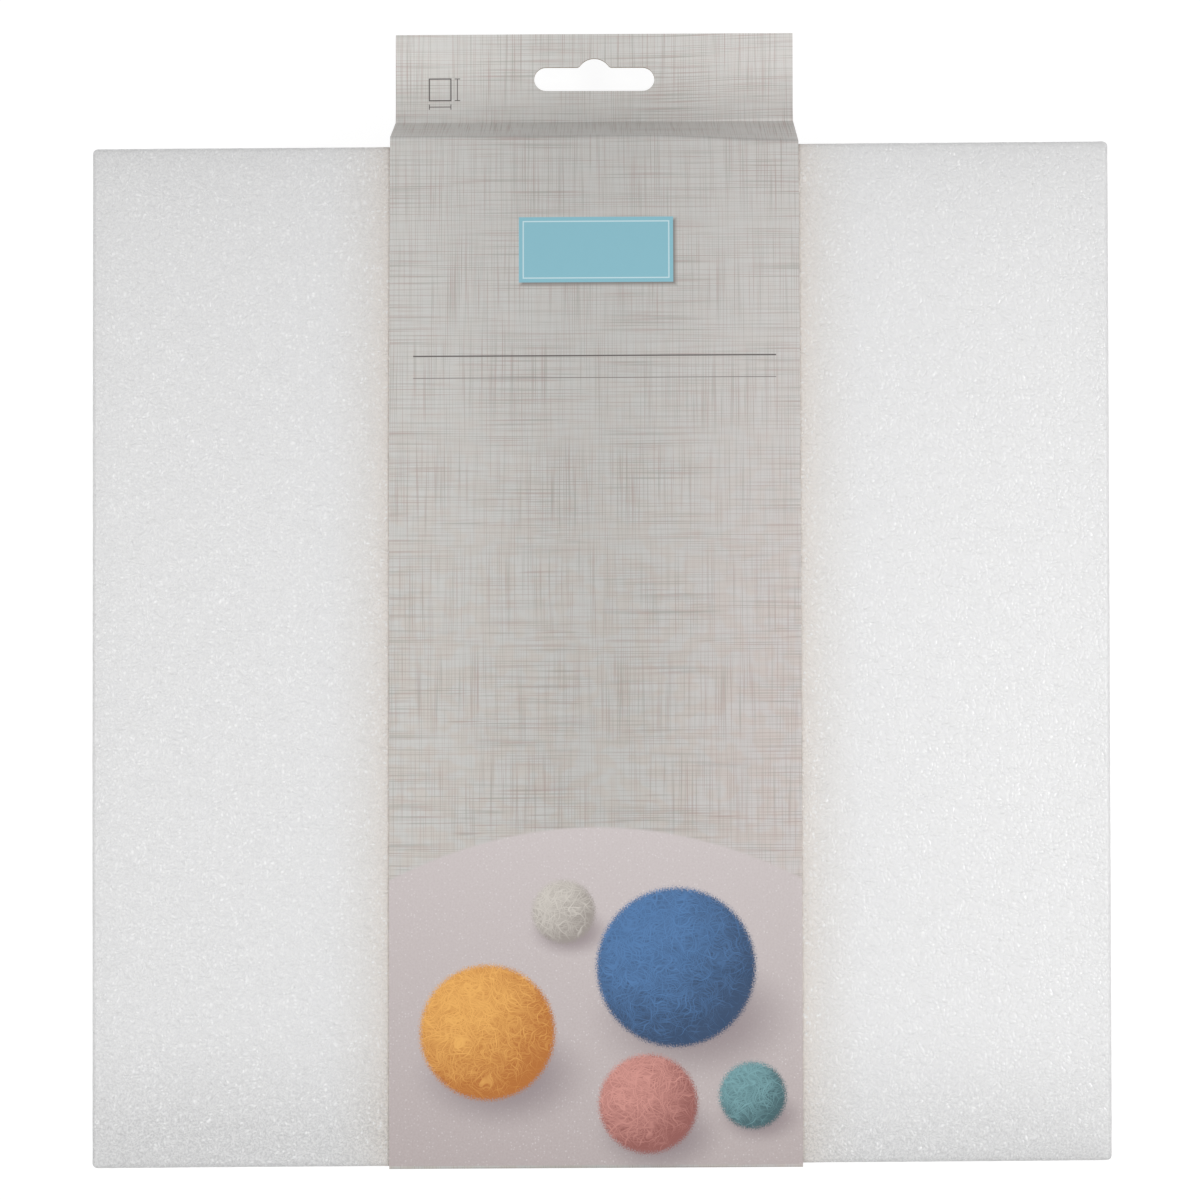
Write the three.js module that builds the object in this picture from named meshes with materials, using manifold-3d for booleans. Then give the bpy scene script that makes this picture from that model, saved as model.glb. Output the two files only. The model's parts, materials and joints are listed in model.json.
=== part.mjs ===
// Needle felting mat: a square block of closed-cell foam inside a printed card sleeve with a hang tab.
//
// Millimetres. +X runs across the mat, +Y runs up the sleeve to the hang tab, and +Z rises from the
// table to the working face of the foam. The origin lies on the table, under the middle of the block.
//
// The sleeve is one strip of card. It starts as the front leaf of the hang tab, flares out into the
// front gable, runs down the front panel, under the foam, up the back panel, over the back gable and
// ends as the back leaf, which is glued to the front leaf. The sleeve fits the foam closely, and its front
// panel springs off the working face in a very shallow bow. The sleeve slides off the foam along X, and
// the hang tab folds both ways where its two leaves come together.

import * as THREE from "three";
import { RoundedBoxGeometry } from "three/addons/geometries/RoundedBoxGeometry.js";
import { mergeVertices } from "three/addons/utils/BufferGeometryUtils.js";
import Module from "manifold-3d";

// Foam block
const BLOCK_WIDTH = 255;
const BLOCK_LENGTH = 255;
const BLOCK_THICKNESS = 50;
const BLOCK_EDGE_RADIUS = 2;
const BLOCK_EDGE_STEPS = 4;

// Card sleeve
const CARD_THICKNESS = 0.45;
const SLEEVE_WIDTH = 103;
const SLEEVE_OFFSET = -1.5; // where the sleeve's middle sits along X, a little left of the block's
const BACK_CLEARANCE = 0.3; // foam to back panel
const FRONT_CLEARANCE = 0.3; // foam to the two ends of the front panel
const FOOT_CLEARANCE = 0.5; // foam to bottom panel
const HEAD_CLEARANCE = 1.4; // foam to where the gable folds begin
const FOLD_RADIUS = 0.6; // on the inside of a fold
const FOLD_STEPS = 6;
const FRONT_BOW = 0.4; // how much further the front panel stands off the foam half way up
const BOW_STEPS = 24;
const GABLE_RISE = 8; // from where the gable folds begin up to the crease at the top of the slope
const FLARE_HEIGHT = 5.5; // from that crease up to where the two gables come together
const FLARE_RADIUS = 14; // of the card's outer face above the crease
const FLARE_STEPS = 8;

// Hang tab
const HEAD_HEIGHT = 23; // from the crease of the gables up to the top edge of the tab
const HINGE_CLEARANCE = 0.35; // root of the tab to the gables, which lets the tab fold well past square
const ROOT_STEPS = 6;
const GLUE_THICKNESS = 0.1;
const GLUE_STRIP_WIDTH = 18;
const GLUE_STRIP_HEIGHT = 13;

// Hang slot, a long slot with a hump in the middle of its upper edge
const SLOT_WIDTH = 31;
const SLOT_HEIGHT = 6.1;
const SLOT_HUMP_RADIUS = 4.5;
const SLOT_HUMP_RISE = 2.3;
const SLOT_HUMP_FILLET = 1.2;
const SLOT_TOP_MARGIN = 6.3; // card left above the hump
const SLOT_STEPS = 10;

// What follows from the sizes above. The sleeve's own height is zero half way between its two faces.
const cardInside = (BACK_CLEARANCE + BLOCK_THICKNESS + FRONT_CLEARANCE) / 2;
const cardOutside = cardInside + CARD_THICKNESS;
const blockHeight = (BACK_CLEARANCE - FRONT_CLEARANCE) / 2;
const foldOutside = FOLD_RADIUS + CARD_THICKNESS;
const footInside = -BLOCK_LENGTH / 2 - FOOT_CLEARANCE;
const panelFoot = footInside + FOLD_RADIUS;
const panelHead = BLOCK_LENGTH / 2 + HEAD_CLEARANCE;
const creaseY = panelHead + GABLE_RISE;
const flareTop = creaseY + FLARE_HEIGHT;
const glueHalf = GLUE_THICKNESS / 2;
const tabHalf = glueHalf + CARD_THICKNESS;
const hingeY = flareTop + HINGE_CLEARANCE + tabHalf;
const tabHeight = creaseY + HEAD_HEIGHT - hingeY;
const slotCut = 4 * tabHalf;

const QUARTER = Math.PI / 2;
const HALF = Math.PI;

const wasm = await Module();
wasm.setup();

// Solids for the cuts

function toSolid(geometry) {
  const bare = new THREE.BufferGeometry();
  const loose = geometry.index ? geometry.toNonIndexed() : geometry;
  bare.setAttribute("position", loose.getAttribute("position"));
  const merged = mergeVertices(bare, 1e-4);
  return new wasm.Manifold(
    new wasm.Mesh({
      numProp: 3,
      vertProperties: merged.attributes.position.array,
      triVerts: new Uint32Array(merged.index.array),
    }),
  );
}

function fromSolid(solid) {
  const mesh = solid.getMesh();
  const geometry = new THREE.BufferGeometry();
  geometry.setAttribute("position", new THREE.BufferAttribute(mesh.vertProperties, 3));
  geometry.setIndex(new THREE.BufferAttribute(mesh.triVerts, 1));
  geometry.computeVertexNormals();
  return geometry;
}

// A profile drawn in Y and Z, swept across the sleeve's width. The turn takes x to Y, y to Z and z to X.
function sweepAcross(profile, steps) {
  const geometry = new THREE.ExtrudeGeometry(profile, {
    depth: SLEEVE_WIDTH,
    bevelEnabled: false,
    curveSegments: steps,
  });
  geometry.translate(0, 0, -SLEEVE_WIDTH / 2);
  return geometry.applyQuaternion(new THREE.Quaternion(0.5, 0.5, 0.5, 0.5));
}

function addMesh(parent, name, geometry, material) {
  const mesh = new THREE.Mesh(geometry, material);
  mesh.name = name;
  parent.add(mesh);
  return mesh;
}

// Materials, one for each mesh

function foamMaterial() {
  return new THREE.MeshStandardMaterial({ color: "#e6e6e6", roughness: 0.75, metalness: 0 });
}

function printedCard() {
  return new THREE.MeshStandardMaterial({ color: "#bebbb5", roughness: 0.5, metalness: 0 });
}

function glueMaterial() {
  return new THREE.MeshStandardMaterial({ color: "#ddd6c4", roughness: 0.4, metalness: 0 });
}

// Foam block, cut from a plank with its edges just broken

function foamBlock() {
  return new RoundedBoxGeometry(
    BLOCK_WIDTH,
    BLOCK_LENGTH,
    BLOCK_THICKNESS,
    BLOCK_EDGE_STEPS,
    BLOCK_EDGE_RADIUS,
  );
}

// Back panel: flat card between the foot fold and the gable fold

function flatPanelProfile() {
  const shape = new THREE.Shape();
  shape.moveTo(panelFoot, cardInside);
  shape.lineTo(panelHead, cardInside);
  shape.lineTo(panelHead, cardOutside);
  shape.lineTo(panelFoot, cardOutside);
  shape.closePath();
  return shape;
}

// Front panel: the same card, a little longer than the foam, so it bows off it in a shallow arc

function bowedPanelProfile() {
  const half = (panelHead - panelFoot) / 2;
  const middle = (panelHead + panelFoot) / 2;
  const radius = (half ** 2 + FRONT_BOW ** 2) / (2 * FRONT_BOW);
  const spread = Math.asin(half / radius);
  const drop = FRONT_BOW - radius; // from the card at its ends down to the middle of the arc
  const shape = new THREE.Shape();
  shape.moveTo(panelFoot, cardInside);
  shape.absarc(middle, cardInside + drop, radius, QUARTER + spread, QUARTER - spread, true);
  shape.lineTo(panelHead, cardOutside);
  shape.absarc(middle, cardOutside + drop, radius, QUARTER - spread, QUARTER + spread, false);
  shape.closePath();
  return shape;
}

// Bottom panel: the card under the foam, with a round fold at each edge

function bottomProfile() {
  const foldHeight = cardInside - FOLD_RADIUS;
  const shape = new THREE.Shape();
  shape.moveTo(panelFoot, cardOutside);
  shape.absarc(panelFoot, foldHeight, foldOutside, QUARTER, HALF, false);
  shape.absarc(panelFoot, -foldHeight, foldOutside, HALF, HALF + QUARTER, false);
  shape.lineTo(panelFoot, -cardInside);
  shape.absarc(panelFoot, -foldHeight, FOLD_RADIUS, HALF + QUARTER, HALF, true);
  shape.absarc(panelFoot, foldHeight, FOLD_RADIUS, HALF, QUARTER, true);
  shape.closePath();
  return shape;
}

// Gable: the fold at the head of a panel, a straight slope up to a crease, then a hollow flare that
// brings the card upright beside the other gable. All the curves are struck from two points, one inside
// the fold and one outside the flare, so the card keeps its thickness round both.

function gableProfile() {
  const fold = new THREE.Vector2(panelHead, cardInside - FOLD_RADIUS);
  const flare = new THREE.Vector2(flareTop, tabHalf + FLARE_RADIUS);

  // The slope's outer face runs from the crease and touches the outside of the fold.
  const flareTurn = Math.asin(FLARE_HEIGHT / FLARE_RADIUS);
  const creaseHeight = flare.y - FLARE_RADIUS * Math.cos(flareTurn);
  const toCrease = new THREE.Vector2(creaseY, creaseHeight).sub(fold);
  const tilt = Math.atan2(toCrease.y, toCrease.x) + Math.acos(foldOutside / toCrease.length());
  const normal = new THREE.Vector2(Math.cos(tilt), Math.sin(tilt));

  // How far round the flare the inner faces of the slope and the flare meet
  const between = normal.dot(flare.clone().sub(fold));
  const innerFlare = FLARE_RADIUS + CARD_THICKNESS;
  const innerTurn = Math.asin((between - FOLD_RADIUS) / innerFlare) - tilt;

  const upright = HALF + QUARTER; // from the flare's middle to the card beside the other gable
  const shape = new THREE.Shape();
  shape.moveTo(panelHead, cardOutside);
  shape.absarc(fold.x, fold.y, foldOutside, QUARTER, tilt, true);
  shape.absarc(flare.x, flare.y, FLARE_RADIUS, upright - flareTurn, upright, false);
  shape.lineTo(flareTop, glueHalf);
  shape.absarc(flare.x, flare.y, innerFlare, upright, upright - innerTurn, true);
  shape.absarc(fold.x, fold.y, FOLD_RADIUS, tilt, QUARTER, false);
  shape.closePath();
  return shape;
}

// Hang tab leaf: flat card whose root is rounded about the hinge line, with the hang slot cut through

function leafProfile() {
  const rootEnd = HALF - Math.asin(glueHalf / tabHalf);
  const shape = new THREE.Shape();
  shape.moveTo(tabHeight, glueHalf);
  shape.lineTo(tabHeight, tabHalf);
  shape.absarc(0, 0, tabHalf, QUARTER, rootEnd, false);
  shape.closePath();
  return shape;
}

function slotOutline() {
  const end = SLOT_HEIGHT / 2;
  const reach = SLOT_WIDTH / 2 - end;
  const top = tabHeight - SLOT_TOP_MARGIN - SLOT_HUMP_RISE;
  const middle = top - end;
  const humpY = top + SLOT_HUMP_RISE - SLOT_HUMP_RADIUS;
  const filletY = top + SLOT_HUMP_FILLET;
  const filletX = Math.sqrt((SLOT_HUMP_RADIUS + SLOT_HUMP_FILLET) ** 2 - (filletY - humpY) ** 2);
  const lean = Math.atan2(filletY - humpY, filletX); // from the hump's middle to the right fillet's

  const shape = new THREE.Shape();
  shape.moveTo(-reach, middle - end);
  shape.absarc(reach, middle, end, -QUARTER, QUARTER, false);
  shape.absarc(filletX, filletY, SLOT_HUMP_FILLET, -QUARTER, lean - HALF, true);
  shape.absarc(0, humpY, SLOT_HUMP_RADIUS, lean, HALF - lean, false);
  shape.absarc(-filletX, filletY, SLOT_HUMP_FILLET, -lean, -QUARTER, true);
  shape.absarc(-reach, middle, end, QUARTER, HALF + QUARTER, false);
  shape.closePath();
  return shape;
}

function tabLeaf() {
  const slot = new THREE.ExtrudeGeometry(slotOutline(), {
    depth: slotCut,
    bevelEnabled: false,
    curveSegments: SLOT_STEPS,
  });
  slot.translate(0, 0, -slotCut / 2);
  const leaf = toSolid(sweepAcross(leafProfile(), ROOT_STEPS));
  return fromSolid(leaf.subtract(toSolid(slot)));
}

// Assembly

const mat = new THREE.Group();
mat.position.z = cardOutside;

const foam = addMesh(mat, "foam_block", foamBlock(), foamMaterial());
foam.position.z = blockHeight;

const sleeve = new THREE.Group();
sleeve.position.x = SLEEVE_OFFSET;
mat.add(sleeve);

const hangTab = new THREE.Group();
hangTab.position.y = hingeY;
sleeve.add(hangTab);

addMesh(sleeve, "bottom_panel", sweepAcross(bottomProfile(), FOLD_STEPS), printedCard());

// The back of the sleeve is the front turned half round the sleeve's long axis, but for its flat panel.
const faces = {
  front: { turn: 0, panel: bowedPanelProfile() },
  back: { turn: HALF, panel: flatPanelProfile() },
};
for (const [face, { turn, panel }] of Object.entries(faces)) {
  const pieces = [
    addMesh(sleeve, `${face}_panel`, sweepAcross(panel, BOW_STEPS), printedCard()),
    addMesh(sleeve, `${face}_gable`, sweepAcross(gableProfile(), FLARE_STEPS), printedCard()),
    addMesh(hangTab, `${face}_tab_leaf`, tabLeaf(), printedCard()),
  ];
  for (const piece of pieces) piece.rotation.y = turn;
}

// A strip of glue on each side of the slot, half way out to the edge of the tab
const glueX = (SLOT_WIDTH + SLEEVE_WIDTH) / 4;
const sides = { left: -glueX, right: glueX };
for (const [side, x] of Object.entries(sides)) {
  const strip = new THREE.BoxGeometry(GLUE_STRIP_WIDTH, GLUE_STRIP_HEIGHT, GLUE_THICKNESS);
  const glue = addMesh(hangTab, `${side}_glue_strip`, strip, glueMaterial());
  glue.position.set(x, tabHeight / 2, 0);
}

const model = new THREE.Group();
model.add(mat);

export default model;
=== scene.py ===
# %% [markdown]
# # A needle felting mat
# The object is a plank of white closed-cell foam in a sleeve of printed card with a hang tab. Felters stab
# wool against the foam, so its look is all in the surface: a fine pebble of cut cells with a sparkle.
# The sleeve is one strip of card that is folded round the foam. Everything here is made in metres, in the
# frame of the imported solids, which say where each piece sits and what it moves with.

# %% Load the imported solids
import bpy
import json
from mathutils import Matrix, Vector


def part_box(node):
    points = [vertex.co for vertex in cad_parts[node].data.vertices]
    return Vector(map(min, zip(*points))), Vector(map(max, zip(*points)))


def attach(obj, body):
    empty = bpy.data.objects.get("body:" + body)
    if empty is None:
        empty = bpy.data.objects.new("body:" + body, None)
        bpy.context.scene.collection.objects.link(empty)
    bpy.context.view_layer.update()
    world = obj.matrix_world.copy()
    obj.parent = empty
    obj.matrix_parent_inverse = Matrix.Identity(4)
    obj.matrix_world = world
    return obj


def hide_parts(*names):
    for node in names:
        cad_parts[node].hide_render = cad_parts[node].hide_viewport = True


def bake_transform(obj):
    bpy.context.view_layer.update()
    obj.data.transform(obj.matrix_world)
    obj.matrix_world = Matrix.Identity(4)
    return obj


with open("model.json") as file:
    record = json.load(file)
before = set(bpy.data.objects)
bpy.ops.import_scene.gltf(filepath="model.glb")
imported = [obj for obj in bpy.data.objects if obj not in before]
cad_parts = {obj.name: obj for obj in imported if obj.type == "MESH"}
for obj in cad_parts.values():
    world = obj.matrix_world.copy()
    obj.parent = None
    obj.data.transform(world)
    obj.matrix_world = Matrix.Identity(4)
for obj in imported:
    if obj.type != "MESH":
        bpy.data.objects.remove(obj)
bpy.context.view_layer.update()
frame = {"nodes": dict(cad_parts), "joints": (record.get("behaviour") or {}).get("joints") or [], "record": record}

import json
import math

import bmesh
import bpy
import numpy as np
from mathutils import Vector, noise

MM = 0.001
print("solids:", ", ".join(sorted(frame["nodes"])))

# %% [markdown]
# ## Sizes that the solids already hold
# The boxes of the solids give nearly every size of the sleeve, so a change in the solids is followed here.
# Heights on the sleeve are counted from the plane half way between its two faces, where the tab stands.

# %% Read the sizes
foam_low, foam_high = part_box("foam_block")
back_low, back_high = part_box("back_panel")
front_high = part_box("front_panel")[1]
bottom_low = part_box("bottom_panel")[0]
gable_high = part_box("front_gable")[1]
leaf_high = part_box("front_tab_leaf")[1]
hinge = Vector(next(j["pos_m"] for j in frame["joints"] if j["name"] == "hang_tab_fold"))

card = back_high.z - back_low.z
sleeve_width = back_high.x - back_low.x
sleeve_x = (back_high.x + back_low.x) / 2
card_inside = hinge.z - back_high.z
panel_foot = back_low.y
panel_head = back_high.y
front_bow = front_high.z - hinge.z - card_inside - card
fold_inside = panel_foot - bottom_low.y - card
flare_top = gable_high.y
tab_half = leaf_high.z - hinge.z
tab_top = leaf_high.y
print(f"card {card / MM:.2f} mm thick, sleeve {sleeve_width / MM:.0f} mm wide, bow {front_bow / MM:.1f} mm")

# %% [markdown]
# ## Camera
# The mat is seen from straight above its working face, through a long lens, so the hang tab, which stands
# lower than the front panel, is drawn a little smaller. The camera leans and rolls by a fraction of a
# degree, as a camera on a copy stand does. The lens follows from the width of the picture at the foam.

# %% Camera
LENS_TO_FOAM = 875 * MM
VIEW_WIDTH = 300.4 * MM
VIEW_MIDDLE = Vector((-0.3 * MM, 13.4 * MM, foam_high.z))
LEAN = math.radians(0.98)
ROLL = math.radians(0.11)
SENSOR = 36.0

camera_data = bpy.data.cameras.new("copy_stand_camera")
camera_data.sensor_width = SENSOR
camera_data.lens = SENSOR * LENS_TO_FOAM / VIEW_WIDTH
camera = bpy.data.objects.new("copy_stand_camera", camera_data)
bpy.context.scene.collection.objects.link(camera)
camera.location = VIEW_MIDDLE + LENS_TO_FOAM * Vector((0, -math.sin(LEAN), math.cos(LEAN)))
camera.rotation_euler = (LEAN, 0, -ROLL)
bpy.context.scene.camera = camera
bpy.context.scene.view_settings.view_transform = "Standard"
print(f"lens {camera_data.lens:.1f} mm, {LENS_TO_FOAM / MM:.0f} mm above the foam")

# %% [markdown]
# ## Drawing materials with nodes
# Every finish below is a small network of shader nodes. Making each node by hand takes three lines, which
# hides the idea, so this helper keeps one tree and gives each kind of node that is used here a short call.
# A value may be a number or the output of another node, and either way it goes into the named socket.


# %% Node helper
class Graph:
    def __init__(self, owner):
        owner.use_nodes = True
        self.owner = owner
        self.tree = owner.node_tree
        self.tree.nodes.clear()

    def put(self, socket, value):
        if isinstance(value, bpy.types.NodeSocket):
            self.tree.links.new(value, socket)
        else:
            socket.default_value = value

    def node(self, kind, inputs=None, **settings):
        made = self.tree.nodes.new("ShaderNode" + kind)
        for name, value in settings.items():
            setattr(made, name, value)
        for name, value in (inputs or {}).items():
            self.put(made.inputs[name], value)
        return made

    def math(self, operation, *values):
        made = self.node("Math", operation=operation)
        for socket, value in zip(made.inputs, values):
            self.put(socket, value)
        return made.outputs[0]

    def add(self, a, b):
        return self.math("ADD", a, b)

    def subtract(self, a, b):
        return self.math("SUBTRACT", a, b)

    def multiply(self, a, b):
        return self.math("MULTIPLY", a, b)

    def point(self, x, y, z=0.0):
        return self.node("CombineXYZ", {"X": x, "Y": y, "Z": z}).outputs[0]

    def step(self, value, low, high):
        """0 below low, 1 above high and a smooth rise between. low may lie above high, for a fall."""
        made = self.node("MapRange", interpolation_type="SMOOTHSTEP")
        for name, number in {"Value": value, "From Min": low, "From Max": high}.items():
            self.put(made.inputs[name], number)
        return made.outputs[0]

    def fit(self, value, low, high, to_low, to_high):
        """value carried from one range to another in a straight line, held at the ends."""
        made = self.node("MapRange")
        numbers = {"Value": value, "From Min": low, "From Max": high, "To Min": to_low, "To Max": to_high}
        for name, number in numbers.items():
            self.put(made.inputs[name], number)
        return made.outputs[0]

    def noise(self, vector, scale=1.0, detail=2.0, flat=True, **inputs):
        made = self.node("TexNoise", {"Vector": vector, "Scale": scale, "Detail": detail, **inputs})
        made.noise_dimensions = "2D" if flat else "3D"
        return made.outputs["Fac"]

    def mix(self, share, a, b, blend="MIX"):
        made = self.node("Mix", data_type="RGBA", blend_type=blend)
        self.put(made.inputs[0], share)
        self.put(made.inputs[6], a)
        self.put(made.inputs[7], b)
        return made.outputs[2]

    def bump(self, height, distance, strength=1.0):
        inputs = {"Height": height, "Distance": distance, "Strength": strength}
        return self.node("Bump", inputs).outputs[0]

    def out(self, shader, kind="OutputMaterial"):
        output = self.node(kind)
        self.put(output.inputs["Surface"], shader.outputs[0])
        return self.owner

    def surface(self, **inputs):
        names = {name.replace("_", " "): value for name, value in inputs.items()}
        return self.out(self.node("BsdfPrincipled", names))


print("node helper ready")


# %% Colours and new finishes
def finish_graph(name):
    """An empty tree for a new finish of that name."""
    return Graph(bpy.data.materials.new(name))


def grey(level):
    return (level, level, level, 1.0)


def tint(red, green, blue):
    """A colour as it is picked on a screen, from 0 to 255, as the linear colour that shaders take."""
    parts = [x / 255 for x in (red, green, blue)]
    linear = [x / 12.92 if x <= 0.04045 else ((x + 0.055) / 1.055) ** 2.4 for x in parts]
    return (*linear, 1.0)


print("a screen grey of 128 is", round(tint(128, 128, 128)[0], 3), "as light")

# %% [markdown]
# ## Floor and light
# White foam on a white ground only reads if the light fades towards its borders. So there are two
# softboxes, the right one stronger, with grids that keep their light on the middle of the mat, and a
# pale surround that fills the shadows. A larger lamp without a grid would wash the borders out. The floor
# answers the camera with a glow, so that the ground comes out white, and keeps a share of real shading,
# so that the mat's shadow stays.

# %% Floor
FLOOR_SIDE = 8.0
FLOOR_DROP = 0.2 * MM  # below the card, so that the two faces don't share a plane
FLOOR_SHADING, FLOOR_GLOW = 0.2, 0.9  # what the camera sees: real shading, and a glow
FLOOR_BOUNCE = 0.78  # what the mat sees: a pale floor that throws light back on its sides


def seen_directly(g):
    """1 for rays that show a thing to the camera, in gloss or through glass, 0 for its light on others."""
    rays = g.node("LightPath").outputs
    shown = g.math("MAXIMUM", rays["Is Camera Ray"], rays["Is Glossy Ray"])
    return g.math("MAXIMUM", shown, rays["Is Transmission Ray"])


def floor_finish():
    g = finish_graph("white_floor")
    shaded = g.node("BsdfDiffuse", {"Color": grey(FLOOR_SHADING)}).outputs[0]
    glow = g.node("Emission", {"Color": grey(1.0), "Strength": FLOOR_GLOW}).outputs[0]
    to_camera = g.node("AddShader", {0: shaded, 1: glow}).outputs[0]
    to_object = g.node("BsdfDiffuse", {"Color": grey(FLOOR_BOUNCE)}).outputs[0]
    return g.out(g.node("MixShader", {0: seen_directly(g), 1: to_object, 2: to_camera}))


floor_mesh = bpy.data.meshes.new("floor")
half_floor = FLOOR_SIDE / 2
floor_signs = ((-1, -1), (1, -1), (1, 1), (-1, 1))
floor_corners = [(x * half_floor, y * half_floor, -FLOOR_DROP) for x, y in floor_signs]
floor_mesh.from_pydata(floor_corners, [], [(0, 1, 2, 3)])
floor_mesh.materials.append(floor_finish())
floor = bpy.data.objects.new("floor", floor_mesh)
bpy.context.scene.collection.objects.link(floor)
print("floor:", FLOOR_SIDE, "m square")

# %% Light
SURROUND = 0.45
SOFTBOX_SIZE = (0.2, 0.3)  # along the mat and up
SOFTBOX_SPREAD = math.radians(50)
SOFTBOXES = {"left_softbox": (-0.66, 0.271), "right_softbox": (0.66, 0.4)}  # x in metres, watts
SOFTBOX_Y, SOFTBOX_Z = -0.03, 0.95

world = bpy.data.worlds.new("pale_surround")
bpy.context.scene.world = world
sky = Graph(world)
sky_strength = sky.fit(seen_directly(sky), 0.0, 1.0, SURROUND, 1.0)
sky.out(sky.node("Background", {"Color": grey(1.0), "Strength": sky_strength}), "OutputWorld")

for name, (x, power) in SOFTBOXES.items():
    softbox_data = bpy.data.lights.new(name, "AREA")
    softbox_data.shape = "RECTANGLE"
    softbox_data.size, softbox_data.size_y = SOFTBOX_SIZE
    softbox_data.spread = SOFTBOX_SPREAD
    softbox_data.energy = power
    softbox = bpy.data.objects.new(name, softbox_data)
    bpy.context.scene.collection.objects.link(softbox)
    softbox.location = (x, SOFTBOX_Y, SOFTBOX_Z)
    aim = Vector((0, SOFTBOX_Y, foam_high.z)) - softbox.location
    softbox.rotation_euler = aim.to_track_quat("-Z", "Z").to_euler()
    print(name, "at", [round(c, 2) for c in softbox.location], power, "W")

# %% [markdown]
# ## Foam block: the shape
# The block is cut from a plank with a hot wire or a blade, so its faces are flat but never smooth: the
# skin undulates slightly and is pebbled by the cells. A cube with a bevel would have no points to move on
# its faces, so the block is a net of about 1.7 mm over all six sides, with closer lines near the edges.
# Each point is pulled onto a rounded box: it is clamped to a smaller box and pushed out by the radius.
# Then the cut is made as true as a real one: a hair too long and a third of a degree out of square.

# %% Net of a box
EDGE_RADIUS = 1.4 * MM
EDGE_LINES = 4
NET_PITCH = 1.7 * MM


def net_lines(half):
    """Places of the net's lines along one axis, from -half to half, with the edge's lines evenly turned."""
    inner = half - EDGE_RADIUS
    turns = [math.radians(45) * i / EDGE_LINES for i in range(1, EDGE_LINES + 1)]
    border = [inner + EDGE_RADIUS * math.tan(turn) for turn in turns]
    middle = np.linspace(-inner, inner, round(2 * inner / NET_PITCH) + 1)
    return [-x for x in reversed(border)] + list(middle) + border


def box_net(bm, halves):
    """The six sides of a box as nets that share their edge points."""
    lines = [net_lines(half) for half in halves]
    made = {}

    def corner(index):
        if index not in made:
            made[index] = bm.verts.new([line[i] for line, i in zip(lines, index)])
        return made[index]

    for axis in range(3):
        across, along = (axis + 1) % 3, (axis + 2) % 3
        for end in (0, len(lines[axis]) - 1):
            for i in range(len(lines[across]) - 1):
                for j in range(len(lines[along]) - 1):
                    index = [[0, 0, 0] for _ in range(4)]
                    for place, (di, dj) in zip(index, ((0, 0), (1, 0), (1, 1), (0, 1))):
                        place[axis], place[across], place[along] = end, i + di, j + dj
                    face = bm.faces.new([corner(tuple(place)) for place in index])
                    face.smooth = True
                    if end == 0:
                        face.normal_flip()


print(f"net of {NET_PITCH / MM:.1f} mm with {EDGE_LINES} closer lines at each edge")

# %% Foam block mesh
OUT_OF_SQUARE = math.radians(0.345)
CUT_LONG = 0.5 * MM  # more than the nominal length
PROUD = 0.26 * MM  # the broad faces stand this far out, nearly touching the card
UNDULATION, UNDULATION_LENGTH = 0.08 * MM, 45 * MM
PEBBLE, PEBBLE_LENGTH = 0.1 * MM, 4.0 * MM
PEBBLE_SHIFT = Vector((7, 3, 5))  # takes the pebbles to another part of the noise


def sink(point):
    """How far the skin lies under the ideal face at a point: broad dips and small pebbles."""
    broad = noise.noise(point / UNDULATION_LENGTH) * 0.5 + 0.5
    fine = noise.noise(point / PEBBLE_LENGTH + PEBBLE_SHIFT) * 0.5 + 0.5
    return UNDULATION * broad + PEBBLE * fine


def crown(share):
    """The working face swells under the card, most in the middle: 1 there and 0 at both ends."""
    return max(0.0, 1 - share * share)


foam_halves = (foam_high - foam_low) / 2
foam_middle = (foam_high + foam_low) / 2
foam_inner = [half - EDGE_RADIUS for half in foam_halves]
foam_bm = bmesh.new()
box_net(foam_bm, foam_halves)
for vert in foam_bm.verts:
    held = Vector([max(-reach, min(reach, place)) for place, reach in zip(vert.co, foam_inner)])
    out = (vert.co - held).normalized()
    vert.co = held + out * (EDGE_RADIUS - sink(vert.co))
    vert.co.z += out.z * PROUD
    up = (vert.co.z / foam_halves.z + 1) / 2  # 0 on the underside, 1 on the working face
    vert.co.z += front_bow * crown(vert.co.y / foam_halves.y) * up
    vert.co.y *= 1 + CUT_LONG / (2 * foam_halves.y)
    vert.co.y += vert.co.x * math.tan(OUT_OF_SQUARE)
    vert.co += foam_middle
foam_mesh = bpy.data.meshes.new("foam_plank")
foam_bm.to_mesh(foam_mesh)
foam_bm.free()
foam = bpy.data.objects.new("foam_plank", foam_mesh)
bpy.context.scene.collection.objects.link(foam)
print("foam plank:", len(foam_mesh.vertices), "points,", 2 * len(foam_mesh.polygons), "triangles")

# %% [markdown]
# ## Foam block: the finish
# Closed-cell foam is a froth of thin plastic bubbles. Light soaks in and comes out some way off, which
# softens every shadow, so about half of the light takes that way here. The skin is a pebble of small
# domes, a cell pattern bent by a swirl, and cell walls that lie flat glint. Tiny mirrors would flicker from
# one sample to the next, so the glints are pale spots in the colour, drawn out two ways and in clusters.
# Painted shade makes the skin greyer and its grain stronger towards the foot, less towards the head and the
# left, and beside the sleeve. On the working face a painted warm shade lies along the sleeve's edges, with
# a paler strip of painted light right at them. All of this could be painted on by hand, but distances from
# the edges give it in a few nodes.

# %% Foam finish: sparkle
CELL = 0.9 * MM
CLUSTER = 7 * MM
CLUSTER_SPAN, CLUSTER_SHARE = (0.35, 0.65), (0.45, 1.0)  # of the noise, and of the glints there
GLINT_SPOT = (0.42, 0.06)  # how far from its middle, in cells, a spot ends and where it is full
GLINT_CHANCE = (0.3, 1.0)  # the least that a cell needs to glint, and what makes it brightest
GLINT_DRAWN = ((1.0, 0.6, 0.6), (0.6, 1.0, 1.0))  # spots lie one way or the other


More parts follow.
